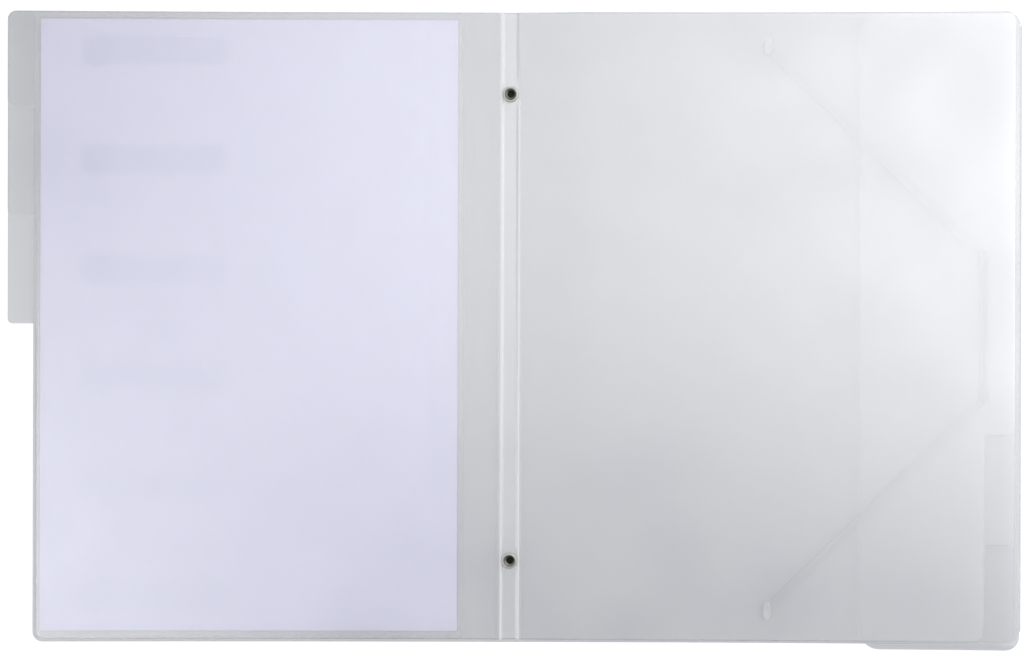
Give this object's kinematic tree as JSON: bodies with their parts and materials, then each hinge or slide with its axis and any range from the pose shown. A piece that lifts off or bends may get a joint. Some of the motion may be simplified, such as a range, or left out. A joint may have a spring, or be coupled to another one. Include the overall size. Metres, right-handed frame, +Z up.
{
  "type": "document sorter folder",
  "caption": "Frosted plastic document sorter lying open, with step-cut divider leaves riveted to its spine, an index pocket, a side flap and a corner elastic.",
  "frame": {"origin": "middle of the spine, on the surface that the open folder lies on", "axes": "+Z up out of the open folder, +Y along the spine to its upper end, +X towards the back cover"},
  "size_m": [0.5134, 0.3225, 0.0041],
  "materials": {
    "frosted_cover": "satin",
    "frosted_divider": "satin",
    "clear_film": "gloss",
    "index_paper": "matte",
    "rivet_metal": "satin",
    "elastic_weave": "matte",
    "toggle_plastic": "satin"
  },
  "bodies": {
    "back_panel": {"back_cover": "frosted_cover", "corner_elastic": "elastic_weave", "upper_toggle": "toggle_plastic", "lower_toggle": "toggle_plastic"},
    "flap_panel": {"side_flap": "frosted_cover"},
    "spine_block": {"cover_spine": "frosted_cover", "divider_spine_1": "frosted_divider", "divider_spine_2": "frosted_divider", "divider_spine_3": "frosted_divider", "upper_rivet": "rivet_metal", "lower_rivet": "rivet_metal"},
    "front_panel": {"front_cover": "frosted_cover", "pocket_film": "clear_film", "pocket_weld": "clear_film"},
    "index_insert": {"index_sheet": "index_paper"},
    "leaf_1": {"divider_leaf_1": "frosted_divider"},
    "leaf_2": {"divider_leaf_2": "frosted_divider"},
    "leaf_3": {"divider_leaf_3": "frosted_divider"},
    "leaf_4": {"divider_leaf_4": "frosted_divider"},
    "leaf_5": {"divider_leaf_5": "frosted_divider"},
    "leaf_6": {"divider_leaf_6": "frosted_divider"}
  },
  "joints": [
    {"name": "spine_fold", "type": "hinge", "parent": "back_panel", "child": "spine_block", "pos_m": [0.0043, 0, 0.00265], "axis": [0, 1, 0], "range_deg": [0, 90]},
    {"name": "front_fold", "type": "hinge", "parent": "spine_block", "child": "front_panel", "pos_m": [-0.0043, 0, 0.00265], "axis": [0, 1, 0], "range_deg": [0, 90]},
    {"name": "leaf_1_turn", "type": "hinge", "parent": "front_panel", "child": "leaf_1", "pos_m": [-0.0043, 0, 0.00265], "axis": [0, -1, 0], "range_deg": [-30, 0]},
    {"name": "leaf_2_turn", "type": "hinge", "parent": "leaf_1", "child": "leaf_2", "pos_m": [-0.0043, 0, 0.00265], "axis": [0, -1, 0], "range_deg": [-30, 0]},
    {"name": "leaf_3_turn", "type": "hinge", "parent": "leaf_2", "child": "leaf_3", "pos_m": [-0.0043, 0, 0.00265], "axis": [0, -1, 0], "range_deg": [-30, 0]},
    {"name": "leaf_6_turn", "type": "hinge", "parent": "back_panel", "child": "leaf_6", "pos_m": [0.0043, 0, 0.00265], "axis": [0, 1, 0], "range_deg": [-50, 0]},
    {"name": "leaf_5_turn", "type": "hinge", "parent": "leaf_6", "child": "leaf_5", "pos_m": [0.0043, 0, 0.00265], "axis": [0, 1, 0], "range_deg": [-20, 0]},
    {"name": "leaf_4_turn", "type": "hinge", "parent": "leaf_5", "child": "leaf_4", "pos_m": [0.0043, 0, 0.00265], "axis": [0, 1, 0], "range_deg": [-20, 0]},
    {"name": "flap_fold", "type": "hinge", "parent": "back_panel", "child": "flap_panel", "pos_m": [0.2579, 0, 0.00175], "axis": [0, 1, 0], "range_deg": [0, 100]},
    {"name": "index_slide", "type": "slide", "parent": "front_panel", "child": "index_insert", "axis": [0, 1, 0], "range_m": [0, 0.3]}
  ],
  "couplings": [
    {"joint": "flap_fold", "follows": "leaf_6_turn", "ratio": -2}
  ]
}
